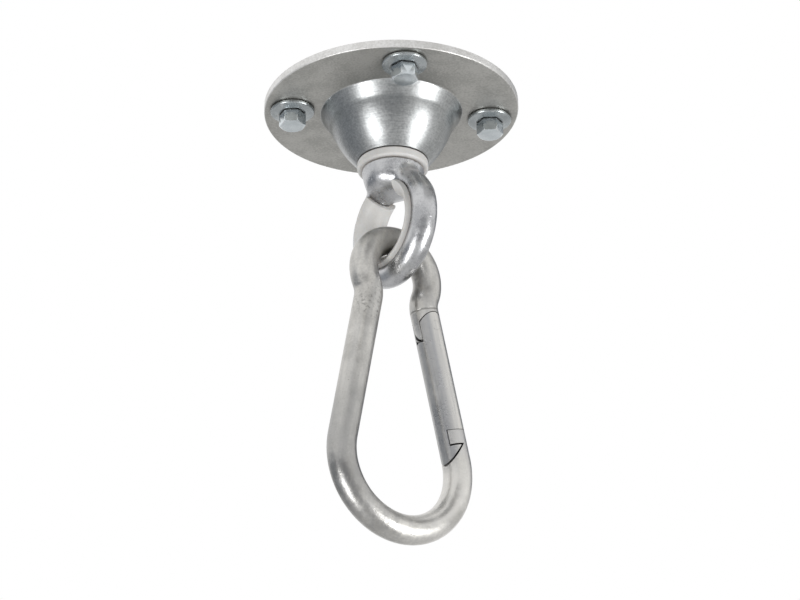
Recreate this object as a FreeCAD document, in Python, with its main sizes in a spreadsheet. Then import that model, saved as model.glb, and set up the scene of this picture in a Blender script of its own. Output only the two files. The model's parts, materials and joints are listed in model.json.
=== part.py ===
import FreeCAD, Part
import math
import os
import re
import Sketcher

# Ceiling hook: a ceiling plate drawn into a bell, a swivel eye with a nylon liner, and a carabiner.
# Millimetres and degrees. Origin at the centre of the ceiling face, +Z up into the ceiling.
# The carabiner lies in the XZ plane with its gate towards +X, and the eye stands in the YZ plane.

SIZES = {
    # ceiling plate and bell, one drawn sheet
    "plate_radius": 55.0,
    "plate_thick": 3.5,
    "rim_round": 0.6,
    "bell_mouth": 15.5,
    "bell_drop": 24.0,
    "bell_lean": 20.0,
    "flare_width": 3.8,
    "flare_drop": 5.9,
    "crease_round": 0.8,
    "bend_round": 6.0,
    "neck_bore": 8.0,
    # screws and washers
    "screw_edge": 12.0,
    "screw_turn": -28.0,
    "right_twist": -7.0,
    "far_twist": 15.0,
    "left_twist": -11.0,
    "near_twist": -22.0,
    "screw_hole": 3.3,
    "screw_radius": 3.0,
    "screw_neck": 2.7,
    "screw_length": 12.0,
    "screw_point": 0.8,
    "screw_flats": 10.0,
    "screw_head": 5.6,
    "screw_land": 0.4,
    "screw_land_radius": 4.7,
    "hex_face": 0.95,
    "hex_chamfer": 30.0,
    "washer_radius": 9.5,
    "washer_gap": 2.9,
    "washer_thick": 2.4,
    "washer_seat": 6.2,
    "washer_rim": 1.8,
    "washer_round": 0.7,
    "washer_bore": 3.2,
    # swivel bearing
    "bush_radius": 15.2,
    "bush_flange": 4.0,
    "bush_round": 0.9,
    "bush_fit": 0.05,
    "swivel_fit": 0.06,
    "swivel_play": 0.1,
    "thrust_radius": 12.5,
    "thrust_thick": 2.0,
    "nut_flats": 19.0,
    "nut_hex": 8.6,
    "nut_crown": 3.4,
    "nut_crown_radius": 8.7,
    "insert_radius": 7.6,
    "insert_thick": 2.4,
    "thread_fit": 0.03,
    # swivel eye
    "shank_radius": 6.0,
    "shank_proud": 2.0,
    "shank_point": 1.2,
    "collar_radius": 13.4,
    "collar_round": 0.8,
    "neck_radius": 12.3,
    "neck_drop": 8.0,
    "neck_foot": 4.6,
    "neck_foot_drop": 11.6,
    "neck_round": 9.0,
    "eye_radius": 21.2,
    "eye_reach": 27.0,
    "bar_radius": 5.6,
    # eye liner
    "liner_thick": 2.3,
    "liner_fit": 0.05,
    "liner_wrap": 74.0,
    "liner_angle": 302.0,
    # carabiner bar
    "hang_gap": 0.3,
    "wire_radius": 6.0,
    "carabiner_length": 140.0,
    "bow_radius": 16.2,
    "waist_radius": 12.0,
    "foot_radius": 28.7,
    "leg_angle": 12.2,
    # gate hinge
    "pivot_drop": 37.0,
    "shoulder_gap": 0.35,
    "tang_thick": 4.2,
    "tang_reach": 6.0,
    "tang_corner": 1.8,
    "slot_gap": 0.2,
    "slot_room": 1.0,
    "rivet_radius": 2.0,
    "rivet_fit": 0.02,
    "hinge_fit": 0.05,
    # hooked nose and the gate's end that locks under it
    "nose_reach": 45.7,
    "nose_head": 5.8,
    "nose_inner": 4.4,
    "nose_root": 1.4,
    "nose_ramp": 8.4,
    "nose_seam": 0.25,
    "nose_slot": 0.7,
    # pressure pin and spring in the gate
    "plunger_radius": 1.5,
    "plunger_length": 8.0,
    "plunger_play": 0.1,
    "bore_fit": 0.06,
    "spring_wire": 0.25,
    "spring_length": 14.0,
    "spring_pitch": 1.75,
    # overshoot of the cutting shapes beyond the solids
    "cut_room": 1.0,
}

doc = FreeCAD.newDocument("ceiling_hook")
sheet = doc.addObject("Spreadsheet::Sheet", "Sizes")
for row, (name, value) in enumerate(SIZES.items(), start=1):
    sheet.set(f"A{row}", name)
    sheet.set(f"B{row}", str(value))
    sheet.setAlias(f"B{row}", name)
doc.recompute()

SCREWS = 4
SCREW_TWISTS = ("right_twist", "far_twist", "left_twist", "near_twist")
HEX_SIDES = 6
FULL_TURN = 360
QUARTER_TURN = FULL_TURN / 4
HEX_STEP = FULL_TURN / HEX_SIDES

# Levels along Z, as expressions of the sizes
PLATE_LOW = "(-plate_thick)"
FLARE_LOW = "(-plate_thick - flare_drop)"
BELL_LOW = "(-plate_thick - bell_drop)"
BELL_FLOOR = "(-bell_drop)"
COLLAR_FACE = "(-plate_thick - bell_drop - bush_flange - swivel_play)"
NUT_SEAT = "(-bell_drop + thrust_thick + swivel_play)"
SCREW_REACH = "(plate_radius - screw_edge)"
FLARE_EDGE = f"({SCREW_REACH} - washer_radius - washer_gap)"
BELL_RADIUS = f"({FLARE_EDGE} - flare_width)"
SHANK_LENGTH = f"({NUT_SEAT} + nut_hex + nut_crown + shank_proud - {COLLAR_FACE})"
EYE_CENTRE = f"({COLLAR_FACE} - eye_reach)"
BOW_CENTRE = f"({EYE_CENTRE} - eye_radius + bar_radius + liner_thick + hang_gap + wire_radius)"

# Tangent points of the carabiner's centreline, from the top of the bow down
LEG = "(leg_angle * 1 deg)"
LINE_LENGTH = "(carabiner_length - 2 * wire_radius)"
FOOT_DROP = f"({LINE_LENGTH} - foot_radius)"
LEG_SHIFT = f"(({FOOT_DROP} - bow_radius) * sin({LEG}))"
WAIST_COS = f"((foot_radius + waist_radius - {LEG_SHIFT}) / (bow_radius + waist_radius))"
WAIST = f"(acos({WAIST_COS}) - {LEG})"
BOW_END = (f"bow_radius * cos({WAIST})", f"-bow_radius * (1 + sin({WAIST}))")
LEG_TOP = (
    f"(bow_radius + waist_radius) * cos({WAIST}) - waist_radius * cos({LEG})",
    f"-bow_radius - (bow_radius + waist_radius) * sin({WAIST}) - waist_radius * sin({LEG})",
)
LEG_FOOT = (f"foot_radius * cos({LEG})", f"-{FOOT_DROP} + foot_radius * sin({LEG})")
PIVOT_X = f"({LEG_FOOT[0]} + ({LEG_FOOT[1]} + pivot_drop) * tan({LEG}))"
PIVOT_Z = "(-pivot_drop)"

# Hinge and nose, measured from the rivet: u across the leg, s along it
SHOULDER = "(wire_radius + shoulder_gap)"
SLOT_RADIUS = "(sqrt((wire_radius - tang_corner)^2 + tang_reach^2) + slot_room)"
CUT_SIDE = "(wire_radius + cut_room)"
NOSE_UNDER = "(nose_reach + nose_head)"
RAMP_SLOPE = "(nose_ramp / (nose_root + wire_radius))"
BORE_END = "(tang_reach + plunger_play + plunger_length + spring_length + 2 * plunger_play)"


def bound(text):
    # puts the sheet's name before each size
    return re.sub(r"[a-z_]+", lambda m: "Sizes." + m.group() if m.group() in SIZES else m.group(), text)


def number(text):
    value = sheet.evalExpression(bound(text))
    return float(getattr(value, "Value", value))


def drive(item, prop, text):
    item.setExpression(prop, bound(text))


def new_body(label):
    body = doc.addObject("PartDesign::Body", label)
    body.Label = label
    return body


def origin_plane(body, role):
    return next(item for item in body.Origin.OriginFeatures if item.Role == role)


def new_sketch(body, name, role="XZ_Plane"):
    sketch = body.newObject("Sketcher::SketchObject", body.Label + "_" + name)
    sketch.AttachmentSupport = [(origin_plane(body, role), "")]
    sketch.MapMode = "FlatFace"
    return sketch


def arc_between(start, end, radius, turn):
    # the shorter arc from start to end, with its centre on the left or right of the way
    chord = end - start
    half = chord.Length / 2
    left = FreeCAD.Vector(-chord.y, chord.x, 0).normalize()
    reach = math.sqrt(max(radius ** 2 - half ** 2, 0.0))
    side = 1 if turn == "left" else -1
    centre = (start + end) / 2 + left * (side * reach)
    first, last = (start, end) if side > 0 else (end, start)
    angle_first = math.atan2(first.y - centre.y, first.x - centre.x)
    angle_last = math.atan2(last.y - centre.y, last.x - centre.x)
    if angle_last <= angle_first:
        angle_last += 2 * math.pi
    return Part.ArcOfCircle(Part.Circle(centre, FreeCAD.Vector(0, 0, 1), radius), angle_first, angle_last)


def outline(sketch, corners, closed=True):
    # each corner is (x, y), or (x, y, turn, radius) where the way to the next corner is an arc
    spots = [FreeCAD.Vector(number(corner[0]), number(corner[1]), 0) for corner in corners]
    spans = len(corners) if closed else len(corners) - 1
    starts = []
    ends = []
    for index in range(spans):
        here = spots[index]
        there = spots[(index + 1) % len(spots)]
        if len(corners[index]) == 2:
            edge = sketch.addGeometry(Part.LineSegment(here, there), False)
            starts.append((edge, 1))
            ends.append((edge, 2))
            continue
        turn, radius = corners[index][2:]
        edge = sketch.addGeometry(arc_between(here, there, number(radius), turn), False)
        starts.append((edge, 1) if turn == "left" else (edge, 2))
        ends.append((edge, 2) if turn == "left" else (edge, 1))
        rule = sketch.addConstraint(Sketcher.Constraint("Radius", edge, number(radius)))
        drive(sketch, f"Constraints[{rule}]", radius)
    for index in range(spans if closed else spans - 1):
        after = starts[(index + 1) % spans]
        sketch.addConstraint(Sketcher.Constraint("Coincident", *ends[index], *after))
    pins = starts if closed else starts + [ends[-1]]
    for pin, corner in zip(pins, corners):
        for kind, text in zip(("DistanceX", "DistanceY"), corner):
            rule = sketch.addConstraint(Sketcher.Constraint(kind, -1, 1, *pin, number(text)))
            drive(sketch, f"Constraints[{rule}]", text)


def circle_at(sketch, across, along, radius):
    centre = FreeCAD.Vector(number(across), number(along), 0)
    edge = sketch.addGeometry(Part.Circle(centre, FreeCAD.Vector(0, 0, 1), number(radius)), False)
    for kind, text in (("DistanceX", across), ("DistanceY", along)):
        rule = sketch.addConstraint(Sketcher.Constraint(kind, -1, 1, edge, 3, number(text)))
        drive(sketch, f"Constraints[{rule}]", text)
    rule = sketch.addConstraint(Sketcher.Constraint("Radius", edge, number(radius)))
    drive(sketch, f"Constraints[{rule}]", radius)


def cross_axis(sketch, level):
    # a construction line along X at a level, to turn a section about
    spot = FreeCAD.Vector(0, number(level), 0)
    edge = sketch.addGeometry(Part.LineSegment(spot, spot + FreeCAD.Vector(1, 0, 0)), True)
    sketch.addConstraint(Sketcher.Constraint("Horizontal", edge))
    sketch.addConstraint(Sketcher.Constraint("PointOnObject", edge, 1, -2))
    sketch.addConstraint(Sketcher.Constraint("Distance", edge, 1.0))
    rule = sketch.addConstraint(Sketcher.Constraint("DistanceY", -1, 1, edge, 1, number(level)))
    drive(sketch, f"Constraints[{rule}]", level)


def turned(body, name, corners):
    # a closed half section turned about Z
    sketch = new_sketch(body, name)
    outline(sketch, corners)
    feature = body.newObject("PartDesign::Revolution", body.Label + "_" + name + "_turned")
    feature.Profile = sketch
    feature.ReferenceAxis = (sketch, ["V_Axis"])
    feature.Angle = FULL_TURN
    return feature


def hexagon(flats):
    corner = f"({flats} / 2 / cos({HEX_STEP / 2}))"
    angles = [side * HEX_STEP for side in range(HEX_SIDES)]
    return [(f"{corner} * cos({angle})", f"{corner} * sin({angle})") for angle in angles]


def padded(body, name, level, length, downwards):
    # an empty sketch at a level of the body's own Z, and the pad that raises it
    sketch = new_sketch(body, name, "XY_Plane")
    drive(sketch, "AttachmentOffset.Base.z", level)
    feature = body.newObject("PartDesign::Pad", body.Label + "_" + name + "_pad")
    feature.Profile = sketch
    feature.Reversed = downwards
    drive(feature, "Length", length)
    return sketch


def cut_through(body, sketch, width=None):
    # cuts a sketch on both sides of its plane, right through or to a width
    feature = body.newObject("PartDesign::Pocket", sketch.Label + "_cut")
    feature.Profile = sketch
    feature.SideType = "Symmetric"
    if width is None:
        feature.Type = "ThroughAll"
    else:
        feature.Type = "Length"
        drive(feature, "Length", width)
    return feature


def chamfered_hex(body, flats, face, direction):
    # turns off the corners of a hex at its outer face
    inner = f"({flats} / 2 * hex_face)"
    outer = f"({flats} / 2 / cos({HEX_STEP / 2}) + cut_room)"
    rise = f"(({outer} - {inner}) * tan(hex_chamfer))"
    sketch = new_sketch(body, "corners")
    outline(sketch, [(inner, face), (outer, face), (outer, f"{face} {direction} {rise}")])
    feature = body.newObject("PartDesign::Groove", body.Label + "_corners_off")
    feature.Profile = sketch
    feature.ReferenceAxis = (sketch, ["V_Axis"])
    feature.Angle = FULL_TURN


def inside(corner, inwards, upwards):
    # the matching corner on the sheet's other face
    return (f"{corner[0]} - plate_thick * {inwards}", f"{corner[1]} + plate_thick * {upwards}")


def bell_plate():
    # a flat rim, a conical flare between two tight bends, and a bowl that leans in to the mouth
    body = new_body("bell_plate")
    flare = "atan(flare_drop / flare_width)"
    down = f"sin({flare})"
    inward = f"cos({flare})"
    upright = "cos(bell_lean)"
    leaning = "sin(bell_lean)"
    first = f"(crease_round * tan({flare} / 2))"
    second = f"(bend_round * tan(({QUARTER_TURN} deg - bell_lean * 1 deg - {flare}) / 2))"
    cone_top = (f"({FLARE_EDGE} - {first} * {inward})", f"({PLATE_LOW} - {first} * {down})")
    cone_end = (f"({BELL_RADIUS} + {second} * {inward})", f"({FLARE_LOW} + {second} * {down})")
    bowl_top = (f"({BELL_RADIUS} - {second} * {leaning})", f"({FLARE_LOW} - {second} * {upright})")
    across = f"({bowl_top[0]} - bell_mouth)"
    along = f"({bowl_top[1]} - {BELL_LOW})"
    curve = f"(({across}^2 + {along}^2) / (2 * ({across} * {upright} - {along} * {leaning})))"
    centre = (f"({bowl_top[0]} - {curve} * {upright})", f"({bowl_top[1]} + {curve} * {leaning})")
    floor_edge = f"({centre[0]} + sqrt(({curve} - plate_thick)^2 - ({BELL_FLOOR} - {centre[1]})^2))"
    turned(body, "section", [
        ("plate_radius", "0"),
        ("plate_radius", f"{PLATE_LOW} + rim_round", "right", "rim_round"),
        ("plate_radius - rim_round", PLATE_LOW),
        (f"{FLARE_EDGE} + {first}", PLATE_LOW, "left", "crease_round"),
        cone_top,
        cone_end + ("left", "bend_round"),
        bowl_top + ("right", curve),
        ("bell_mouth", BELL_LOW),
        ("neck_bore", BELL_LOW),
        ("neck_bore", BELL_FLOOR),
        (floor_edge, BELL_FLOOR, "left", f"{curve} - plate_thick"),
        inside(bowl_top, upright, leaning) + ("right", "bend_round + plate_thick"),
        inside(cone_end, down, inward),
        inside(cone_top, down, inward) + ("right", "crease_round + plate_thick"),
        (f"{FLARE_EDGE} + {first}", "0"),
    ])
    hole = new_sketch(body, "hole", "XY_Plane")
    circle_at(hole, f"{SCREW_REACH} * cos(screw_turn)", f"{SCREW_REACH} * sin(screw_turn)", "screw_hole")
    cut = cut_through(body, hole)
    ring = body.newObject("PartDesign::PolarPattern", "bell_plate_holes")
    ring.Originals = [cut]
    ring.Axis = (origin_plane(body, "Z_Axis"), [""])
    ring.Angle = FULL_TURN
    ring.Occurrences = SCREWS
    body.Tip = ring
    return body


def on_screw_circle(body, index, level, twist="0"):
    angle = f"(screw_turn + {index * FULL_TURN / SCREWS})"
    body.Placement = FreeCAD.Placement(FreeCAD.Vector(), FreeCAD.Rotation(FreeCAD.Vector(0, 0, 1), 1))
    drive(body, "Placement.Base.x", f"{SCREW_REACH} * cos{angle}")
    drive(body, "Placement.Base.y", f"{SCREW_REACH} * sin{angle}")
    drive(body, "Placement.Base.z", level)
    drive(body, "Placement.Rotation.Angle", f"{angle} + {twist}")


def plate_washer(index):
    # flat under the head, falling away to a round rim
    body = new_body(f"plate_washer_{index + 1}")
    turned(body, "section", [
        ("washer_bore", "0"),
        ("washer_bore", "-washer_thick"),
        ("washer_seat", "-washer_thick"),
        ("washer_radius - washer_round", "-washer_rim", "left", "washer_round"),
        ("washer_radius", "washer_round - washer_rim"),
        ("washer_radius", "-washer_round", "left", "washer_round"),
        ("washer_radius - washer_round", "0"),
    ])
    on_screw_circle(body, index, PLATE_LOW)
    return body


def plate_screw(index):
    # origin under the head, a reduced neck through washer and plate, the thread above the plate
    body = new_body(f"plate_screw_{index + 1}")
    turned(body, "shank", [
        ("0", "-screw_land"),
        ("screw_land_radius", "-screw_land"),
        ("screw_land_radius", "0"),
        ("screw_neck", "0"),
        ("screw_neck", "washer_thick + plate_thick"),
        ("screw_radius", "washer_thick + plate_thick"),
        ("screw_radius", "screw_length - screw_point"),
        ("screw_radius - screw_point", "screw_length"),
        ("0", "screw_length"),
    ])
    sketch = padded(body, "head", "-screw_land", "screw_head", True)
    outline(sketch, hexagon("screw_flats"))
    chamfered_hex(body, "screw_flats", "(-screw_land - screw_head)", "+")
    on_screw_circle(body, index, f"{PLATE_LOW} - washer_thick", SCREW_TWISTS[index])
    return body


def neck_bush():
    # origin at the mouth of the bell, flange below and spigot up through the bell's floor
    body = new_body("neck_bush")
    turned(body, "section", [
        ("shank_radius + swivel_fit", "-bush_flange"),
        ("bush_radius - bush_round", "-bush_flange", "left", "bush_round"),
        ("bush_radius", "bush_round - bush_flange"),
        ("bush_radius", "-bush_round", "left", "bush_round"),
        ("bush_radius - bush_round", "0"),
        ("neck_bore - bush_fit", "0"),
        ("neck_bore - bush_fit", "plate_thick"),
        ("shank_radius + swivel_fit", "plate_thick"),
    ])
    drive(body, "Placement.Base.z", BELL_LOW)
    return body


def thrust_washer():
    body = new_body("thrust_washer")
    turned(body, "section", [
        ("shank_radius + swivel_fit", "0"),
        ("thrust_radius", "0"),
        ("thrust_radius", "thrust_thick"),
        ("shank_radius + swivel_fit", "thrust_thick"),
    ])
    drive(body, "Placement.Base.z", BELL_FLOOR)
    return body


def lock_nut():
    # hex below, crown above with a recess for the nylon ring
    body = new_body("lock_nut")
    sketch = padded(body, "hex", "0", "nut_hex", False)
    outline(sketch, hexagon("nut_flats"))
    circle_at(sketch, "0", "0", "shank_radius + thread_fit")
    chamfered_hex(body, "nut_flats", "nut_hex", "-")
    turned(body, "crown", [
        ("insert_radius", "nut_hex - insert_thick / 2"),
        ("nut_crown_radius", "nut_hex - insert_thick / 2"),
        ("nut_crown_radius", "nut_hex + nut_crown"),
        ("insert_radius", "nut_hex + nut_crown"),
    ])
    drive(body, "Placement.Base.z", NUT_SEAT)
    return body


def nut_insert():
    body = new_body("nut_insert")
    turned(body, "section", [
        ("shank_radius + thread_fit", "0"),
        ("insert_radius - thread_fit", "0"),
        ("insert_radius - thread_fit", "insert_thick"),
        ("shank_radius + thread_fit", "insert_thick"),
    ])
    drive(body, "Placement.Base.z", f"{NUT_SEAT} + nut_hex")
    return body


def swivel_eye():
    # origin on the collar's bearing face, a thick neck below it that ends in the ring
    body = new_body("swivel_eye")
    turned(body, "stem", [
        ("0", "-neck_foot_drop"),
        ("neck_foot", "-neck_foot_drop", "left", "neck_round"),
        ("neck_radius", "-neck_drop"),
        ("collar_radius", "-collar_round", "left", "collar_round"),
        ("collar_radius - collar_round", "0"),
        ("shank_radius", "0"),
        ("shank_radius", f"{SHANK_LENGTH} - shank_point"),
        ("shank_radius - shank_point", SHANK_LENGTH),
        ("0", SHANK_LENGTH),
    ])
    sketch = new_sketch(body, "bar")
    circle_at(sketch, "0", "-eye_reach - eye_radius", "bar_radius")
    cross_axis(sketch, "-eye_reach")
    ring = body.newObject("PartDesign::Revolution", "swivel_eye_ring")
    ring.Profile = sketch
    ring.ReferenceAxis = (sketch, ["Axis0"])
    ring.Angle = FULL_TURN
    drive(body, "Placement.Base.z", COLLAR_FACE)
    return body


def eye_liner():
    # a channel that hugs the inner side of the eye's bar, open at the top; origin at the eye's centre
    body = new_body("eye_liner")
    sketch = new_sketch(body, "channel")
    inner = "(bar_radius + liner_fit)"
    outer = "(bar_radius + liner_thick)"
    outline(sketch, [
        (f"-{inner} * sin(liner_wrap)", f"-eye_radius + {inner} * cos(liner_wrap)"),
        (f"-{outer} * sin(liner_wrap)", f"-eye_radius + {outer} * cos(liner_wrap)", "right", outer),
        (f"{outer} * sin(liner_wrap)", f"-eye_radius + {outer} * cos(liner_wrap)"),
        (f"{inner} * sin(liner_wrap)", f"-eye_radius + {inner} * cos(liner_wrap)", "left", inner),
    ])
    cross_axis(sketch, "0")
    feature = body.newObject("PartDesign::Revolution", "eye_liner_turned")
    feature.Profile = sketch
    feature.ReferenceAxis = (sketch, ["Axis0"])
    feature.Midplane = True
    drive(feature, "Angle", "liner_angle")
    drive(body, "Placement.Base.z", EYE_CENTRE)
    return body


def hinge_sketch(body, name):
    # a sketch in the carabiner's plane with its origin on the rivet and -y along the leg
    sketch = new_sketch(body, name)
    drive(sketch, "AttachmentOffset.Base.x", PIVOT_X)
    drive(sketch, "AttachmentOffset.Base.y", PIVOT_Z)
    drive(sketch, "AttachmentOffset.Rotation.Angle", "leg_angle")
    return sketch


def along_leg(reach):
    return (f"{PIVOT_X} + {reach} * sin({LEG})", f"{PIVOT_Z} - {reach} * cos({LEG})")


def mirrored(corner):
    return (f"-({corner[0]})",) + corner[1:]


def carabiner_hook():
    # origin at the top of the bow's centreline
    body = new_body("carabiner_hook")
    path = new_sketch(body, "path")
    outline(path, [
        along_leg("tang_reach"),
        LEG_TOP + ("right", "waist_radius"),
        BOW_END + ("left", "bow_radius"),
        ("0", "0", "left", "bow_radius"),
        mirrored(BOW_END) + ("right", "waist_radius"),
        mirrored(LEG_TOP),
        mirrored(LEG_FOOT) + ("left", "foot_radius"),
        ("0", f"-{LINE_LENGTH}", "left", "foot_radius"),
        LEG_FOOT,
        along_leg("(nose_reach - cut_room)"),
    ], closed=False)
    section = body.newObject("Sketcher::SketchObject", "carabiner_hook_section")
    section.AttachmentSupport = [(path, "Edge1")]
    section.MapMode = "NormalToEdge"
    circle_at(section, "0", "0", "wire_radius")
    bar = body.newObject("PartDesign::AdditivePipe", "carabiner_hook_bar")
    bar.Profile = section
    bar.Spine = path
    # flat tang, with a shoulder hollowed round the rivet
    for side, name in ((1, "front"), (-1, "back")):
        sketch = hinge_sketch(body, f"{name}_flat")
        outline(sketch, [
            (f"-{CUT_SIDE}", "0"),
            (f"-{CUT_SIDE}", "-tang_reach - cut_room"),
            (CUT_SIDE, "-tang_reach - cut_room"),
            (CUT_SIDE, "0"),
            (SHOULDER, "0", "left", SHOULDER),
            ("0", SHOULDER, "left", SHOULDER),
            (f"-{SHOULDER}", "0"),
        ])
        drive(sketch, "AttachmentOffset.Base.z", f"{side} * tang_thick / 2")
        cut = body.newObject("PartDesign::Pocket", f"carabiner_hook_{name}_flat_cut")
        cut.Profile = sketch
        cut.Reversed = side > 0
        drive(cut, "Length", CUT_SIDE)
    for side, name in ((1, "outer"), (-1, "inner")):
        sketch = hinge_sketch(body, f"{name}_corner")
        outline(sketch, [
            (f"{side} * (wire_radius - tang_corner - cut_room)", "-tang_reach - cut_room"),
            (f"{side} * (wire_radius + cut_room)", "-tang_reach - cut_room"),
            (f"{side} * (wire_radius + cut_room)", "-tang_reach + tang_corner + cut_room"),
        ])
        cut_through(body, sketch)
    sketch = hinge_sketch(body, "rivet_hole")
    circle_at(sketch, "0", "0", "rivet_radius + rivet_fit")
    cut_through(body, sketch)
    # hooked nose: a head rounded about the rivet, an undercut and a ramp to the inner side
    sketch = hinge_sketch(body, "nose_top")
    side_level = f"(-sqrt(nose_reach^2 - {CUT_SIDE}^2))"
    outline(sketch, [
        (f"-{CUT_SIDE}", "-nose_reach + 3 * cut_room"),
        (f"-{CUT_SIDE}", side_level, "left", "nose_reach"),
        (CUT_SIDE, side_level),
        (CUT_SIDE, "-nose_reach + 3 * cut_room"),
    ])
    cut_through(body, sketch)
    sketch = hinge_sketch(body, "nose_undercut")
    outline(sketch, [
        (f"-{CUT_SIDE}", "-nose_reach + cut_room"),
        (f"-{CUT_SIDE}", f"-{NOSE_UNDER} - {RAMP_SLOPE} * (nose_root + {CUT_SIDE})"),
        ("nose_root", f"-{NOSE_UNDER}"),
        ("-nose_inner", f"-{NOSE_UNDER}"),
        ("-nose_inner", "-nose_reach + cut_room"),
    ])
    cut_through(body, sketch)
    drive(body, "Placement.Base.z", BOW_CENTRE)
    return body


def on_leg(item, reach="0"):
    # origin at a reach below the rivet, +x across the leg to the outer side, +z up the leg
    across, along = along_leg(reach)
    tilt = FreeCAD.Rotation(FreeCAD.Vector(0, 1, 0), -1)
    item.Placement = FreeCAD.Placement(FreeCAD.Vector(), tilt)
    drive(item, "Placement.Base.x", across)
    drive(item, "Placement.Base.z", f"{BOW_CENTRE} + {along}")
    drive(item, "Placement.Rotation.Angle", "-leg_angle")


def carabiner_gate():
    body = new_body("carabiner_gate")
    tongue_top = f"({NOSE_UNDER} + nose_slot)"
    ramp_shift = f"(nose_slot * sqrt(1 + {RAMP_SLOPE}^2) / {RAMP_SLOPE} + nose_slot / {RAMP_SLOPE})"
    tongue_root = f"(nose_root - {ramp_shift})"
    tongue_end = f"({tongue_top} + {RAMP_SLOPE} * ({tongue_root} + {CUT_SIDE}))"
    sketch = padded(body, "bar", "wire_radius", f"wire_radius + {tongue_end}", True)
    circle_at(sketch, "0", "0", "wire_radius")
    sketch = new_sketch(body, "fork_top")
    outline(sketch, [
        (f"-{CUT_SIDE}", "0"),
        ("-wire_radius", "0", "right", "wire_radius"),
        ("0", "wire_radius", "right", "wire_radius"),
        ("wire_radius", "0"),
        (CUT_SIDE, "0"),
        (CUT_SIDE, CUT_SIDE),
        (f"-{CUT_SIDE}", CUT_SIDE),
    ])
    cut_through(body, sketch)
    sketch = new_sketch(body, "slot")
    slot_side = f"(-sqrt({SLOT_RADIUS}^2 - {CUT_SIDE}^2))"
    outline(sketch, [
        (f"-{CUT_SIDE}", CUT_SIDE),
        (f"-{CUT_SIDE}", slot_side, "left", SLOT_RADIUS),
        (CUT_SIDE, slot_side),
        (CUT_SIDE, CUT_SIDE),
    ])
    cut_through(body, sketch, "tang_thick + 2 * slot_gap")
    sketch = new_sketch(body, "rivet_hole")
    circle_at(sketch, "0", "0", "rivet_radius + hinge_fit")
    cut_through(body, sketch)
    # recess for the nose's head and the tongue that locks under it
    sketch = new_sketch(body, "nose_recess")
    head_reach = "(nose_reach - nose_seam)"
    strip = "(nose_inner + nose_seam)"
    outline(sketch, [
        (f"-{strip}", f"-sqrt({head_reach}^2 - {strip}^2)"),
        (f"-{strip}", f"-{tongue_top}"),
        (tongue_root, f"-{tongue_top}"),
        (f"-{CUT_SIDE}", f"-{tongue_end}"),
        (f"-{CUT_SIDE}", f"-{tongue_end} - cut_room"),
        (CUT_SIDE, f"-{tongue_end} - cut_room"),
        (CUT_SIDE, f"-sqrt({head_reach}^2 - {CUT_SIDE}^2)", "right", head_reach),
    ])
    cut_through(body, sketch)
    bore = new_sketch(body, "bore", "XY_Plane")
    drive(bore, "AttachmentOffset.Base.z", f"-{SLOT_RADIUS} + cut_room")
    circle_at(bore, "0", "0", "plunger_radius + bore_fit")
    cut = body.newObject("PartDesign::Pocket", "carabiner_gate_bore_cut")
    cut.Profile = bore
    drive(cut, "Length", f"{BORE_END} - {SLOT_RADIUS} + cut_room")
    on_leg(body)
    return body


def gate_rivet():
    # a pin along Y, its ends flush with the round of the bar
    pin = doc.addObject("Part::Cylinder", "rivet_pin")
    drive(pin, "Radius", "rivet_radius")
    drive(pin, "Height", f"2 * {CUT_SIDE}")
    pin.Placement.Rotation = FreeCAD.Rotation(FreeCAD.Vector(1, 0, 0), -QUARTER_TURN)
    drive(pin, "Placement.Base.y", f"-{CUT_SIDE}")
    round_bar = doc.addObject("Part::Cylinder", "rivet_round")
    drive(round_bar, "Radius", "wire_radius")
    drive(round_bar, "Height", f"2 * {CUT_SIDE}")
    drive(round_bar, "Placement.Base.z", f"-{CUT_SIDE}")
    rivet = doc.addObject("Part::Common", "gate_rivet")
    rivet.Base = pin
    rivet.Tool = round_bar
    rivet.Label = "gate_rivet"
    on_leg(rivet)
    return rivet


def gate_plunger():
    # a pin with a domed tip that presses on the end of the tang
    body = new_body("gate_plunger")
    tip = "(tang_reach + plunger_play)"
    turned(body, "section", [
        ("0", f"-{tip} - plunger_length"),
        ("plunger_radius", f"-{tip} - plunger_length"),
        ("plunger_radius", f"-{tip} - plunger_radius", "left", "plunger_radius"),
        ("0", f"-{tip}"),
    ])
    on_leg(body)
    return body


def gate_spring():
    # a coil of round wire in the gate's bore, under the pressure pin
    coil = "(plunger_radius - spring_wire)"
    helix = doc.addObject("Part::Helix", "spring_path")
    helix.SegmentLength = 0
    drive(helix, "Radius", coil)
    drive(helix, "Pitch", "spring_pitch")
    drive(helix, "Height", "spring_length - 2 * spring_wire")
    drive(helix, "Placement.Base.z", "spring_wire")
    ring = doc.addObject("Part::Circle", "spring_section")
    drive(ring, "Radius", "spring_wire")
    ring.Placement.Rotation = FreeCAD.Rotation(FreeCAD.Vector(1, 0, 0), QUARTER_TURN)
    drive(ring, "Placement.Base.x", coil)
    drive(ring, "Placement.Base.z", "spring_wire")
    spring = doc.addObject("Part::Sweep", "gate_spring")
    spring.Label = "gate_spring"
    spring.Sections = [ring]
    spring.Spine = (helix, ["Edge1"])
    spring.Solid = True
    spring.Frenet = True
    on_leg(spring, f"({BORE_END} - plunger_play)")
    return spring


PARTS = [bell_plate()]
PARTS += [plate_washer(index) for index in range(SCREWS)]
PARTS += [plate_screw(index) for index in range(SCREWS)]
PARTS += [neck_bush(), thrust_washer(), lock_nut(), nut_insert(), swivel_eye(), eye_liner()]
PARTS += [carabiner_hook(), carabiner_gate(), gate_rivet(), gate_plunger(), gate_spring()]
doc.recompute()

for item in doc.Objects:
    if "Invalid" in item.State or "Error" in item.State:
        raise RuntimeError(f"{item.Label} failed: {item.State}")
for part in PARTS:
    if part.Shape.isNull() or not part.Shape.isValid() or len(part.Shape.Solids) != 1:
        raise RuntimeError(f"{part.Label} is not one valid solid")

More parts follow.
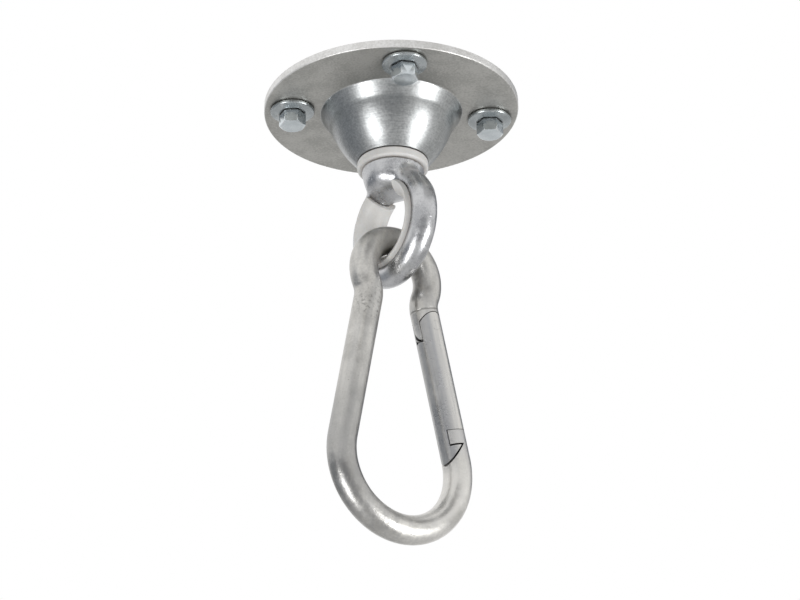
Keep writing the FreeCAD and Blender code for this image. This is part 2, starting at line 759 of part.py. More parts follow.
os.makedirs("parts", exist_ok=True)
for part in PARTS:
    part.Shape.exportStep(os.path.join("parts", part.Label + ".step"))
    print(part.Label, round(part.Shape.Volume, 1))
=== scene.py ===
import bpy
import bmesh
import json
import math
import numpy as np
from mathutils import Matrix, Vector, noise


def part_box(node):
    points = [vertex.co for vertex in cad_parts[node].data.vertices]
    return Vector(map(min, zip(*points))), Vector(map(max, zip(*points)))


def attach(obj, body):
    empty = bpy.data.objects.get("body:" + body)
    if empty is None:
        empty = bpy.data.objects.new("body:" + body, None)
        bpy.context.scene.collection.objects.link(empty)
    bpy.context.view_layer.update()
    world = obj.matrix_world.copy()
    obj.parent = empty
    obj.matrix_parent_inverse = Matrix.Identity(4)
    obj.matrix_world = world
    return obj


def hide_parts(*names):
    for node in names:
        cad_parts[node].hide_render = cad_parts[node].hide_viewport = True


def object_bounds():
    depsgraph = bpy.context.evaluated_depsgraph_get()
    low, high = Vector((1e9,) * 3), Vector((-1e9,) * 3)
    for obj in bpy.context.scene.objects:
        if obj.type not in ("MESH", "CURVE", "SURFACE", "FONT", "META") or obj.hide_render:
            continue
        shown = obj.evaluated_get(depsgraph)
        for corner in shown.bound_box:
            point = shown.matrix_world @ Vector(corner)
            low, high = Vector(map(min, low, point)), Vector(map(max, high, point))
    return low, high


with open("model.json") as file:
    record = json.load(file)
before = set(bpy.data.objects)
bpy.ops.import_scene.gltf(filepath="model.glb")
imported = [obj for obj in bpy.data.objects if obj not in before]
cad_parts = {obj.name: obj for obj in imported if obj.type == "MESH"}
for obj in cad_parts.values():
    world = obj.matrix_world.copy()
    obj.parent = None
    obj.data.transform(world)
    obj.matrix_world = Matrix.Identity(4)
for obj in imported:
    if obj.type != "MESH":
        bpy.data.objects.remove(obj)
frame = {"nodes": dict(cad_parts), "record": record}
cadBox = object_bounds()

scene = bpy.context.scene
nodes = frame["nodes"]
cadMiddle = (cadBox[0] + cadBox[1]) / 2
weldDistance = 1e-6             # metres
print("frame loaded:", len(nodes), "nodes")


def boxMiddle(nodeName):
    low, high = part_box(nodeName)
    return (low + high) / 2


# Camera, at the viewing angle from below
cameraSet = {
    "azimuth": -36.0,           # degrees round the swivel axis, 0 looks along +Y
    "elevation": -30.1,         # degrees, from below
    "distance": 1.0,            # metres from the plate's lower face
    "aim": (0.00125, -0.0009, -0.0927),
    "roll": -1.55,              # degrees
    "focalPixels": 2302.0,
    "imageWidth": 800.0,
    "sensorWidth": 36.0,
    "clipStart": 0.01,
}


def directionFrom(azimuth, elevation):
    a = math.radians(azimuth)
    e = math.radians(elevation)
    return Vector((math.sin(a) * math.cos(e), -math.cos(a) * math.cos(e), math.sin(e)))


def makeCamera(settings):
    data = bpy.data.cameras.new("hookCamera")
    data.sensor_width = settings["sensorWidth"]
    data.lens = settings["focalPixels"] / settings["imageWidth"] * settings["sensorWidth"]
    data.clip_start = settings["clipStart"]
    camera = bpy.data.objects.new("hookCamera", data)
    scene.collection.objects.link(camera)
    plateLow = Vector((0, 0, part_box("plate_washer_1")[1].z))
    viewer = plateLow + directionFrom(settings["azimuth"], settings["elevation"]) * settings["distance"]
    forward = (Vector(settings["aim"]) - viewer).normalized()
    level = forward.cross(Vector((0, 0, 1))).normalized()
    roll = math.radians(settings["roll"])
    right = level * math.cos(roll) + level.cross(forward) * math.sin(roll)
    up = right.cross(forward)
    turn = Matrix((right, up, -forward)).transposed()
    camera.matrix_world = Matrix.Translation(viewer) @ turn.to_4x4()
    scene.camera = camera


makeCamera(cameraSet)
print("camera set")


# Short ways to add shader nodes
def addNode(tree, kind, links=None, **settings):
    # one node, with plain settings, and values or links for its sockets
    node = tree.nodes.new(kind)
    for key, value in settings.items():
        setattr(node, key, value)
    for key, value in (links or {}).items():
        if isinstance(value, bpy.types.NodeSocket):
            tree.links.new(value, node.inputs[key])
        else:
            node.inputs[key].default_value = value
    return node


def mathNode(tree, operation, first, second=0.0, clamp=False):
    links = {0: first, 1: second}
    return addNode(tree, "ShaderNodeMath", links, operation=operation, use_clamp=clamp).outputs[0]


def plus(tree, first, second):
    return mathNode(tree, "ADD", first, second)


def minus(tree, first, second):
    return mathNode(tree, "SUBTRACT", first, second)


def times(tree, first, second):
    return mathNode(tree, "MULTIPLY", first, second)


def larger(tree, first, second):
    return mathNode(tree, "MAXIMUM", first, second)


def vectorNode(tree, operation, first, second):
    return addNode(tree, "ShaderNodeVectorMath", {0: first, 1: second}, operation=operation).outputs


def rampBetween(tree, value, low, high, outLow=0.0, outHigh=1.0):
    links = {"Value": value, "From Min": low, "From Max": high, "To Min": outLow, "To Max": outHigh}
    return addNode(tree, "ShaderNodeMapRange", links, interpolation_type="SMOOTHSTEP").outputs[0]


def mixColour(tree, factor, first, second):
    return addNode(tree, "ShaderNodeMix", {0: factor, 6: first, 7: second}, data_type="RGBA").outputs[2]


def noiseAt(tree, vector, scale, detail, rough):
    links = {"Vector": vector, "Scale": scale, "Detail": detail, "Roughness": rough}
    return addNode(tree, "ShaderNodeTexNoise", links).outputs["Fac"]


def stretched(tree, vector, scale, turn=(0.0, 0.0, 0.0)):
    links = {"Vector": vector, "Rotation": turn, "Scale": scale}
    return addNode(tree, "ShaderNodeMapping", links).outputs[0]


def objectSpot(tree):
    return addNode(tree, "ShaderNodeTexCoord").outputs["Object"]


def splitSpot(tree):
    return addNode(tree, "ShaderNodeSeparateXYZ", {0: objectSpot(tree)}).outputs


def joinSpot(tree, x, y, z):
    return addNode(tree, "ShaderNodeCombineXYZ", {0: x, 1: y, 2: z}).outputs[0]


# Shader node groups that the finishes place
def newGroup(name, inputs, outputs):
    group = bpy.data.node_groups.new(name, "ShaderNodeTree")
    for label, value in inputs:
        kind = "NodeSocketVector" if isinstance(value, tuple) else "NodeSocketFloat"
        socket = group.interface.new_socket(label, in_out="INPUT", socket_type=kind)
        socket.default_value = value
    for label in outputs:
        group.interface.new_socket(label, in_out="OUTPUT", socket_type="NodeSocketFloat")
    source = group.nodes.new("NodeGroupInput")
    sink = group.nodes.new("NodeGroupOutput")
    return group, source.outputs, sink.inputs


def zincMottleGroup():
    # cloudy tone, fine grain and a soft unevenness of a zinc coat
    inputs = [("Cloud Scale", 60.0), ("Grain Scale", 900.0), ("Grain Share", 0.35)]
    group, given, result = newGroup("zincMottle", inputs, ["Tone", "Grain", "Height"])
    toneRange = (0.3, 0.7)
    grainInHeight = 0.4
    spot = objectSpot(group)
    cloud = noiseAt(group, spot, given["Cloud Scale"], detail=4.0, rough=0.6)
    grain = noiseAt(group, spot, given["Grain Scale"], detail=2.0, rough=0.5)
    share = times(group, minus(group, grain, 0.5), given["Grain Share"])
    group.links.new(rampBetween(group, plus(group, cloud, share), *toneRange), result["Tone"])
    group.links.new(grain, result["Grain"])
    group.links.new(plus(group, cloud, times(group, share, grainInHeight)), result["Height"])
    return group


def spunLinesGroup():
    # lines that run round the swivel axis, as left by spinning the bell
    inputs = [("Line Scale", 3000.0), ("Break Up", 4.0)]
    group, given, result = newGroup("spunLines", inputs, ["Lines", "Radius"])
    x, y, z = splitSpot(group)
    radius = mathNode(group, "SQRT", plus(group, times(group, x, x), times(group, y, y)))
    turn = mathNode(group, "ARCTAN2", y, x)
    along = times(group, plus(group, radius, z), given["Line Scale"])
    across = times(group, mathNode(group, "COSINE", turn), given["Break Up"])
    deep = times(group, mathNode(group, "SINE", turn), given["Break Up"])
    lines = noiseAt(group, joinSpot(group, along, across, deep), 1.0, detail=3.0, rough=0.6)
    group.links.new(lines, result["Lines"])
    group.links.new(radius, result["Radius"])
    return group


def edgeRubGroup():
    # bright rubbed edges, and crevices for painted shade with grime, from the form itself
    inputs = [("Edge Low", 0.51), ("Edge High", 0.6), ("Crevice Reach", 0.003)]
    group, given, result = newGroup("edgeRub", inputs, ["Edge", "Crevice"])
    creviceRange = (0.95, 0.35)     # from open to deep
    point = addNode(group, "ShaderNodeNewGeometry").outputs["Pointiness"]
    group.links.new(rampBetween(group, point, given["Edge Low"], given["Edge High"]), result["Edge"])
    shade = addNode(group, "ShaderNodeAmbientOcclusion", {"Distance": given["Crevice Reach"]}, samples=8)
    group.links.new(rampBetween(group, shade.outputs["AO"], *creviceRange), result["Crevice"])
    return group


nickLook = {
    "pitCore": 0.02,            # where a pit is at full depth
    "patchFade": 0.1,
    "scratchTurn": (0.4, 0.9, 0.3), "scratchScale": (90.0, 1500.0, 900.0),
    "scratchRange": (0.66, 0.74), "scratchPatch": (0.42, 0.6),
    "streakScale": (420.0, 420.0, 26.0), "streakRange": (0.32, 0.68),
}


def nicksGroup():
    # small pits and short scratches in patches, and streaks drawn along the legs
    inputs = [("Pit Scale", 420.0), ("Pit Size", 0.16), ("Patch Scale", 45.0), ("Patch Level", 0.56),
              ("Lean", 0.213)]  # the lean of the legs, in radians
    group, given, result = newGroup("nicks", inputs, ["Pits", "Scratches", "Streaks"])
    spot = objectSpot(group)
    patch = noiseAt(group, spot, given["Patch Scale"], detail=2.0, rough=0.5)

    cells = addNode(group, "ShaderNodeTexVoronoi", {"Vector": spot, "Scale": given["Pit Scale"]})
    dot = rampBetween(group, cells.outputs["Distance"], given["Pit Size"], nickLook["pitCore"])
    patchHigh = plus(group, given["Patch Level"], nickLook["patchFade"])
    pitted = rampBetween(group, patch, given["Patch Level"], patchHigh)
    group.links.new(times(group, dot, pitted), result["Pits"])

    slanted = stretched(group, spot, nickLook["scratchScale"], nickLook["scratchTurn"])
    fine = noiseAt(group, slanted, 1.0, detail=2.0, rough=0.5)
    scratch = rampBetween(group, fine, *nickLook["scratchRange"])
    scratched = rampBetween(group, patch, *nickLook["scratchPatch"])
    group.links.new(times(group, scratch, scratched), result["Scratches"])

    x, y, z = splitSpot(group)
    oneSide = joinSpot(group, mathNode(group, "ABSOLUTE", x), y, z)   # the same on both legs
    leaned = addNode(group, "ShaderNodeVectorRotate", {"Vector": oneSide, "Angle": given["Lean"]},
                     rotation_type="Y_AXIS").outputs[0]
    drawn = noiseAt(group, stretched(group, leaned, nickLook["streakScale"]), 1.0, detail=3.0, rough=0.55)
    group.links.new(rampBetween(group, drawn, *nickLook["streakRange"]), result["Streaks"])
    return group


def gapShadeLineGroup():
    # painted dark shade along a short straight gap between two points
    inputs = [("Start", (0.0, 0.0, 0.0)), ("End", (0.0, 0.0, 0.001)), ("Half Width", 0.0008)]
    group, given, result = newGroup("gapShadeLine", inputs, ["Line"])
    coreShare = 0.75
    run = vectorNode(group, "SUBTRACT", given["End"], given["Start"])["Vector"]
    way = vectorNode(group, "SUBTRACT", objectSpot(group), given["Start"])["Vector"]
    length = vectorNode(group, "DOT_PRODUCT", run, run)["Value"]
    share = mathNode(group, "DIVIDE", vectorNode(group, "DOT_PRODUCT", way, run)["Value"], length, True)
    nearest = addNode(group, "ShaderNodeVectorMath", {0: run, "Scale": share}, operation="SCALE")
    off = vectorNode(group, "DISTANCE", way, nearest.outputs["Vector"])["Value"]
    core = times(group, given["Half Width"], coreShare)
    group.links.new(rampBetween(group, off, given["Half Width"], core), result["Line"])
    return group


groups = {
    "mottle": zincMottleGroup(),
    "spun": spunLinesGroup(),
    "edge": edgeRubGroup(),
    "nicks": nicksGroup(),
    "gapShade": gapShadeLineGroup(),
}
print("node groups made:", len(groups))


# What the finishes share
def newMaterial(name):
    material = bpy.data.materials.new(name)
    material.use_nodes = True
    tree = material.node_tree
    shader = next(node for node in tree.nodes if node.type == "BSDF_PRINCIPLED")
    return material, tree, shader


def placeGroup(tree, key, values=None):
    return addNode(tree, "ShaderNodeGroup", values, node_tree=groups[key]).outputs


def grey(level, warm=0.0):
    # warm above 0 leans to straw, below 0 to blue
    greenShare = 0.4
    return (level * (1 + warm), level * (1 + warm * greenShare), level * (1 - warm), 1.0)


def bump(tree, shader, height):
    # height in metres
    node = addNode(tree, "ShaderNodeBump", {"Height": height, "Distance": 1.0, "Strength": 1.0})
    tree.links.new(node.outputs["Normal"], shader.inputs["Normal"])


def skinHeight(tree, mottle, finish):
    # soft unevenness and fine grain of a coat, in metres
    cloud = times(tree, mottle["Height"], finish["cloudDepth"])
    return plus(tree, cloud, times(tree, mottle["Grain"], finish["grainDepth"]))


# Plate and bell: dull zinc on the flat, spun bright on the bell, a pale sheared rim
plateFinish = {
    "dull": (0.408, 0.405, 0.384, 1.0), "bright": (0.535, 0.529, 0.504, 1.0), "roughFlat": 0.46,
    "bell": (0.313, 0.323, 0.326, 1.0), "spun": (0.462, 0.472, 0.472, 1.0), "roughBell": 0.31,
    "lineRough": 0.12, "lineRange": (0.37, 0.63), "brushed": 0.2,
    "rimDull": grey(0.66, 0.02), "rim": grey(0.8, 0.01),
    # painted crevice shade with grime: its share and colour
    "shadeAndGrime": 0.35, "shadeAndDirt": grey(0.12, 0.05),
    "cloud": 80.0, "grain": 1100.0, "grainShare": 0.75,
    "cloudDepth": 0.00008, "grainDepth": 0.0001, "lineDepth": 0.00004,     # metres
    "bellSkin": 0.32,           # how much of the flat's unevenness is left on the spun bell
    "washerGap": 0.0029,        # metres from the washers to the bell's flare
    "flareFade": (0.0004, -0.0002),     # metres from the flare's radius
    "rimFade": (-0.0005, -0.0002),      # metres from the plate's radius
}


def flareRadius():
    low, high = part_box("plate_washer_1")
    middle = boxMiddle("plate_washer_1")
    return math.hypot(middle.x, middle.y) - (high.x - low.x) / 2 - plateFinish["washerGap"]


def plateZinc():
    material, tree, shader = newMaterial("plateZinc")
    shader.inputs["Metallic"].default_value = 1.0
    mottle = placeGroup(tree, "mottle", {
        "Cloud Scale": plateFinish["cloud"],
        "Grain Scale": plateFinish["grain"],
        "Grain Share": plateFinish["grainShare"],
    })
    spun = placeGroup(tree, "spun")
    edge = placeGroup(tree, "edge")
    flare = flareRadius()
    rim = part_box("bell_plate")[1].x
    onBell = rampBetween(tree, spun["Radius"], *(flare + fade for fade in plateFinish["flareFade"]))
    onRim = rampBetween(tree, spun["Radius"], *(rim + fade for fade in plateFinish["rimFade"]))

    flat = mixColour(tree, mottle["Tone"], plateFinish["dull"], plateFinish["bright"])
    brushing = times(tree, plus(tree, spun["Lines"], mottle["Grain"]), 0.5)
    lined = rampBetween(tree, brushing, *plateFinish["lineRange"])
    bell = mixColour(tree, lined, plateFinish["bell"], plateFinish["spun"])
    sheared = mixColour(tree, mottle["Tone"], plateFinish["rimDull"], plateFinish["rim"])
    colour = mixColour(tree, onRim, mixColour(tree, onBell, flat, bell), sheared)
    # painted shade with grime in crevices, from the AO mask
    colour = mixColour(tree, times(tree, edge["Crevice"], plateFinish["shadeAndGrime"]), colour, plateFinish["shadeAndDirt"])
    tree.links.new(colour, shader.inputs["Base Color"])

    rough = rampBetween(tree, onBell, 0.0, 1.0, plateFinish["roughFlat"], plateFinish["roughBell"])
    lineRough = times(tree, minus(tree, spun["Lines"], 0.5), plateFinish["lineRough"])
    tree.links.new(plus(tree, rough, lineRough), shader.inputs["Roughness"])
    tangent = addNode(tree, "ShaderNodeTangent", direction_type="RADIAL", axis="Z")
    tree.links.new(tangent.outputs[0], shader.inputs["Tangent"])
    tree.links.new(times(tree, onBell, plateFinish["brushed"]), shader.inputs["Anisotropic"])

    lines = times(tree, times(tree, spun["Lines"], onBell), plateFinish["lineDepth"])
    skinShare = rampBetween(tree, onBell, 0.0, 1.0, 1.0, plateFinish["bellSkin"])
    bump(tree, shader, plus(tree, lines, times(tree, skinHeight(tree, mottle, plateFinish), skinShare)))
    return material


# White nylon of the bush, the liner and the hidden washers
nylonFinish = {
    "dark": (0.62, 0.61, 0.59, 1.0), "light": (0.7, 0.695, 0.68, 1.0), "rough": 0.42,
    # painted crevice shade with grime: its share, colour and reach
    "shadeAndGrime": 0.45, "shadeAndDirt": (0.24, 0.18, 0.14, 1.0), "creviceReach": 0.0016,
    "cloud": 70.0, "grain": 1500.0, "cloudDepth": 0.00006, "grainDepth": 0.00001,
    "depthShare": 0.15, "depth": (0.002, 0.0016, 0.0012),      # how far light goes in, metres
}


def whiteNylon():
    material, tree, shader = newMaterial("whiteNylon")
    scales = {"Cloud Scale": nylonFinish["cloud"], "Grain Scale": nylonFinish["grain"]}
    mottle = placeGroup(tree, "mottle", scales)
    edge = placeGroup(tree, "edge", {"Crevice Reach": nylonFinish["creviceReach"]})
    colour = mixColour(tree, mottle["Tone"], nylonFinish["dark"], nylonFinish["light"])
    # painted shade with grime in crevices, from the AO mask
    colour = mixColour(tree, times(tree, edge["Crevice"], nylonFinish["shadeAndGrime"]), colour, nylonFinish["shadeAndDirt"])
    tree.links.new(colour, shader.inputs["Base Color"])
    shader.inputs["Roughness"].default_value = nylonFinish["rough"]
    shader.inputs["Subsurface Weight"].default_value = nylonFinish["depthShare"]
    shader.inputs["Subsurface Radius"].default_value = nylonFinish["depth"]
    bump(tree, shader, skinHeight(tree, mottle, nylonFinish))
    return material


# Places on the carabiner, for marks that only it and its gate have
joints = {joint["name"]: joint for joint in frame["record"]["behaviour"]["joints"]}
hinge = Vector(joints["gate_hinge"]["pos_m"])
legDown = Vector(joints["plunger_slide"]["axis"])
legOut = Vector((-legDown.z, 0.0, legDown.x))
legRadius = (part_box("carabiner_gate")[1].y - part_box("carabiner_gate")[0].y) / 2
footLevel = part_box("carabiner_hook")[0].z


def onLeg(across, aside, below):
    # a place on the hinged leg: across to the outer side, along Y, and below the rivet
    return tuple(hinge + legOut * across + Vector((0.0, aside, 0.0)) + legDown * below)


def seamMask(tree, seam):
    # a fine line round the hinged leg, square to it
    level = vectorNode(tree, "DOT_PRODUCT", objectSpot(tree), tuple(legDown))["Value"]
    off = mathNode(tree, "ABSOLUTE", minus(tree, level, hinge.dot(legDown) + seam["below"]))
    rightSide = rampBetween(tree, splitSpot(tree)[0], *seam["side"])
    return times(tree, rampBetween(tree, off, seam["width"], seam["core"]), rightSide)


def reflectionStripeMask(tree, band):
    # a stripe of painted reflection down the round of the hinged leg, at an angle from the inner side to the
    # front
    angle = math.radians(band["angle"])
    way = tuple(legOut * -math.cos(angle) + Vector((0.0, -math.sin(angle), 0.0)))
    fromHinge = vectorNode(tree, "SUBTRACT", objectSpot(tree), tuple(hinge))["Vector"]
    reach = vectorNode(tree, "DOT_PRODUCT", fromHinge, way)["Value"]
    low, high = (legRadius * math.cos(math.radians(spread)) for spread in band["spread"])
    return rampBetween(tree, reach, low, high)


def paintedLightZoneMask(tree, zone):
    # a soft zone of painted light and shade on the carabiner, from side to side and by height above its foot
    x, y, z = splitSpot(tree)
    side = rampBetween(tree, x, *zone["side"])
    level = rampBetween(tree, z, *(footLevel + height for height in zone["height"]))
    return times(tree, times(tree, side, level), zone["share"])


def wornMask(tree, worn):
    # a rubbed patch on the front of the plain leg, across from the rivet
    spot = Vector((-hinge.x, -legRadius, hinge.z)) + Vector(worn["offset"])
    reach = vectorNode(tree, "DISTANCE", objectSpot(tree), tuple(spot))["Value"]
    near = rampBetween(tree, reach, worn["reach"], worn["core"])
    grain = noiseAt(tree, objectSpot(tree), worn["scale"], detail=3.0, rough=0.65)
    return times(tree, near, rampBetween(tree, grain, *worn["grain"]))


def gapShadeMask(tree, gapShade):
    ends = {"Start": onLeg(*gapShade["start"]), "End": onLeg(*gapShade["end"])}
    return placeGroup(tree, "gapShade", ends)["Line"]


# Plated steel, as every other metal piece has it
zincWear = {
    "edge": grey(0.8), "edgeShare": 0.4,
    "pit": grey(0.26, 0.04),
    # colour of the painted crevice shade with grime
    "shadeAndDirt": grey(0.1, 0.08), "creviceReach": 0.0018,
    "scratchRough": -0.08,
    "bandFaint": 0.35,          # how much of a stripe shows between the drawn streaks
}


def zincColour(tree, finish, mottle, edge, nicks):
    # cloudy tone, drawn streaks, zones of painted light and shade, stripes of painted reflection, rubbed
    # edges, pits, painted crevice shade with grime and painted gap shade, with a mask of what is worn in
    colour = mixColour(tree, mottle["Tone"], finish["dark"], finish["light"])
    if "streaks" in finish:
        colour = mixColour(tree, times(tree, nicks["Streaks"], finish["streaks"]), colour, finish["streak"])
    # soft zones of painted highlight and painted shade
    for zone in finish.get("paintedLightZones", ()):
        colour = mixColour(tree, paintedLightZoneMask(tree, zone), colour, zone["colour"])
    # stripes of painted reflection down the gate
    for band in finish.get("reflectionStripes", ()):
        faint = band["share"] * zincWear["bandFaint"]
        streaked = rampBetween(tree, nicks["Streaks"], 0.0, 1.0, faint, band["share"])
        colour = mixColour(tree, times(tree, reflectionStripeMask(tree, band), streaked), colour, band["colour"])
    colour = mixColour(tree, times(tree, edge["Edge"], zincWear["edgeShare"]), colour, zincWear["edge"])
    marks = times(tree, nicks["Pits"], finish["pits"])
    if "worn" in finish:
        marks = larger(tree, marks, wornMask(tree, finish["worn"]))
    colour = mixColour(tree, marks, colour, zincWear["pit"])
    if "seam" in finish:
        seam = finish["seam"]
        line = seamMask(tree, seam)
        colour = mixColour(tree, times(tree, line, seam["share"]), colour, seam["colour"])
        marks = larger(tree, marks, line)
    # painted shade with grime in crevices, from the AO mask
    colour = mixColour(tree, times(tree, edge["Crevice"], finish["shadeAndGrime"]), colour, zincWear["shadeAndDirt"])
    # painted black shade in the gap at the tang's end
    if "gapShade" in finish:
        colour = mixColour(tree, gapShadeMask(tree, finish["gapShade"]), colour, finish["gapShade"]["colour"])
    return colour, marks


def zincFinish(name, finish):
    material, tree, shader = newMaterial(name)
    shader.inputs["Metallic"].default_value = 1.0
    mottle = placeGroup(tree, "mottle", {"Cloud Scale": finish["cloud"], "Grain Scale": finish["grain"]})
    edge = placeGroup(tree, "edge", {"Crevice Reach": zincWear["creviceReach"]})
    nicks = placeGroup(tree, "nicks")
    colour, marks = zincColour(tree, finish, mottle, edge, nicks)
    tree.links.new(colour, shader.inputs["Base Color"])
    uneven = times(tree, minus(tree, mottle["Tone"], 0.5), finish["spread"])
    uneven = plus(tree, uneven, times(tree, nicks["Scratches"], zincWear["scratchRough"]))
    tree.links.new(plus(tree, uneven, finish["rough"]), shader.inputs["Roughness"])
    pitted = times(tree, marks, finish["pitDepth"])
    scratched = times(tree, nicks["Scratches"], finish["scratchDepth"])
    bump(tree, shader, minus(tree, skinHeight(tree, mottle, finish), plus(tree, pitted, scratched)))
    return material


screwFinish = {
    "dark": (0.61, 0.66, 0.685, 1.0), "light": (0.74, 0.79, 0.815, 1.0), "rough": 0.22, "spread": 0.1,
    "cloud": 160.0, "grain": 1800.0, "cloudDepth": 0.00004, "grainDepth": 0.00001,
    "pits": 0.2, "pitDepth": 0.00002, "scratchDepth": 0.0, "shadeAndGrime": 0.6,
}
washerFinish = {
    "dark": (0.375, 0.402, 0.412, 1.0), "light": (0.51, 0.543, 0.555, 1.0), "rough": 0.26, "spread": 0.1,
    "cloud": 160.0, "grain": 1800.0, "cloudDepth": 0.00004, "grainDepth": 0.00002,
    "pits": 0.3, "pitDepth": 0.00002, "scratchDepth": 0.0, "shadeAndGrime": 0.6,
}
eyeFinish = {
    "dark": grey(0.42, -0.02), "light": grey(0.65, -0.01), "rough": 0.31, "spread": 0.12,
    "cloud": 120.0, "grain": 1300.0, "cloudDepth": 0.00012, "grainDepth": 0.000022,
    "pits": 0.4, "pitDepth": 0.00006, "scratchDepth": 0.00004, "shadeAndGrime": 0.35,
}
carabinerFinish = {
    "dark": grey(0.45, 0.04), "light": grey(0.66, 0.035), "rough": 0.36, "spread": 0.16,
    "cloud": 90.0, "grain": 1200.0, "cloudDepth": 0.00026, "grainDepth": 0.000022,
    "pits": 0.8, "pitDepth": 0.00008, "scratchDepth": 0.00002, "shadeAndGrime": 0.5,
    "streak": grey(0.38, -0.01), "streaks": 0.4,
    "worn": {"offset": (-0.0006, 0.0, 0.0036), "reach": 0.011, "core": 0.0044, "scale": 750.0,
             "grain": (0.5, 0.7)},
    "seam": {"below": -0.00773, "width": 0.0005, "core": 0.0002, "side": (0.002, 0.003), "share": 0.5,
             "colour": grey(0.12, 0.1)},
    # painted black shade along the gap at the tang's end
    "gapShade": {"start": (-0.00548, 0.00244, 0.00184), "end": (-0.00582, -0.00146, 0.00678),
               "colour": grey(0.015)},      # in the gap at the tang's end
    "paintedLightZones": (
        # painted highlight on the right part of the bend, painted shade on the left part and on the nose
        # tongue
        {"side": (-0.008, 0.016), "height": (0.0536, 0.0276), "share": 0.4, "colour": grey(0.9, 0.03)},
        {"side": (-0.004, -0.026), "height": (0.0796, 0.0496), "share": 0.45, "colour": grey(0.28)},
        {"side": (0.018, 0.02), "height": (0.0406, 0.0496), "share": 0.6, "colour": grey(0.28, 0.03)},
    ),
}
gateFinish = {
    "dark": grey(0.22, 0.01), "light": grey(0.37, 0.04), "rough": 0.33, "spread": 0.12,
    "cloud": 90.0, "grain": 1200.0, "cloudDepth": 0.0001, "grainDepth": 0.00004,
    "pits": 0.3, "pitDepth": 0.00006, "scratchDepth": 0.00002, "shadeAndGrime": 0.5,
    "streak": grey(0.26, -0.02), "streaks": 0.6,
    "reflectionStripes": (
        # a stripe of painted dark reflection and one of painted bright reflection, spread from the faint
        # edge to the full core, in degrees
        {"angle": 50.0, "spread": (26.0, 7.8), "share": 0.75, "colour": grey(0.17, -0.08)},
        {"angle": 108.0, "spread": (48.0, 14.4), "share": 0.9, "colour": grey(0.6, 0.07)},
    ),
}
springFinish = {
    "dark": grey(0.35), "light": grey(0.45), "rough": 0.3, "spread": 0.1,
    "cloud": 200.0, "grain": 1800.0, "cloudDepth": 0.00002, "grainDepth": 0.0,
    "pits": 0.0, "pitDepth": 0.0, "scratchDepth": 0.0, "shadeAndGrime": 0.6,
}
finishes = {                    # by material slot, and the washers' own
    "bell_steel": plateZinc(),
    "nylon": whiteNylon(),
    "screw_zinc": zincFinish("screwZinc", screwFinish),
    "washer": zincFinish("washerZinc", washerFinish),
    "eye_zinc": zincFinish("eyeZinc", eyeFinish),
    "carabiner_zinc": zincFinish("carabinerZinc", carabinerFinish),
    "gate_zinc": zincFinish("gateZinc", gateFinish),
    "spring_steel": zincFinish("springSteel", springFinish),
}
print("finishes made:", len(finishes))


def dress(item, finish):
    item.data.materials.clear()
    item.data.materials.append(finishes[finish])


slotOf = {part["node"]: part["material_slot"] for part in frame["record"]["subparts"]}
for name, slot in slotOf.items():
    dress(nodes[name], "washer" if name.startswith("plate_washer") else slot)
print("nodes dressed:", len(slotOf))


# Pieces that stand for CAD nodes
def smoothFaces(mesh, sharpAngle):
    mesh.polygons.foreach_set("use_smooth", [True] * len(mesh.polygons))
    mesh.set_sharp_from_angle(angle=math.radians(sharpAngle))
    mesh.update()


def newPiece(name, mesh, body, nodeName):
    # a mesh in world space that stands for a CAD node and rides on its body
    piece = bpy.data.objects.new(name, mesh)
    scene.collection.objects.link(piece)
    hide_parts(nodeName)
    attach(piece, body)
    dress(piece, slotOf[nodeName])
    return piece


def worldMesh(nodeName):
    # a welded copy of a node's mesh in world space
    shell = bmesh.new()
    shell.from_mesh(nodes[nodeName].data)
    shell.transform(nodes[nodeName].matrix_world)
    bmesh.ops.remove_doubles(shell, verts=shell.verts, dist=weldDistance)
    return shell


def addRing(shell, axis, radii, level):
    # points round a vertical axis, one for each radius
    ring = []
    for step, radius in enumerate(radii):
        angle = 2 * math.pi * step / len(radii)
        x = axis.x + radius * math.cos(angle)
        y = axis.y + radius * math.sin(angle)
        ring.append(shell.verts.new((x, y, level)))
    return ring


def joinRings(shell, lower, upper):
    for step in range(len(lower)):
        after = (step + 1) % len(lower)
        shell.faces.new((lower[step], lower[after], upper[after], upper[step]))


grooveForm = {"floor": 1.35, "slope": 3.2}      # a V with a narrow flat floor, over one pitch


def grooveAt(phase):
    return min(1.0, max(0.0, grooveForm["floor"] - abs(phase - 0.5) * grooveForm["slope"]))


def addThread(shell, axis, low, high, thread):
    # a helical thread round a vertical axis, faded out at both ends
    rows = int((high - low) / thread["pitch"] * thread["rowsPerTurn"])
    segments = thread["segments"]
    rings = []
    for row in range(rows + 1):
        level = low + (high - low) * row / rows
        turns = (level - low) / thread["pitch"]
        depth = thread["depth"] * min(1.0, turns, (high - level) / thread["pitch"])
        grooves = [grooveAt((turns - step / segments) % 1.0) for step in range(segments)]
        rings.append(addRing(shell, axis, [thread["radius"] - depth * groove for groove in grooves], level))
    for lower, upper in zip(rings, rings[1:]):
        joinRings(shell, lower, upper)


# Screws, with a cut thread above the plate
screwCount = sum(name.startswith("plate_screw_") for name in slotOf)
screwThread = {
    "radius": 0.003, "pitch": 0.001, "depth": 0.00055, "point": 0.0008,
    "rowsPerTurn": 10, "segments": 40,
    "wallShare": 0.985,         # of the radius, where the plain shank's wall begins
    "levelSlack": 1e-5,
}
screwEdge = {"width": 0.00018, "segments": 2, "angle": 25.0}


def addEdgeRound(piece, settings):
    rounded = piece.modifiers.new("edgeRound", "BEVEL")
    rounded.width = settings["width"]
    rounded.segments = settings["segments"]
    rounded.limit_method = "ANGLE"
    rounded.angle_limit = math.radians(settings["angle"])
    rounded.harden_normals = True


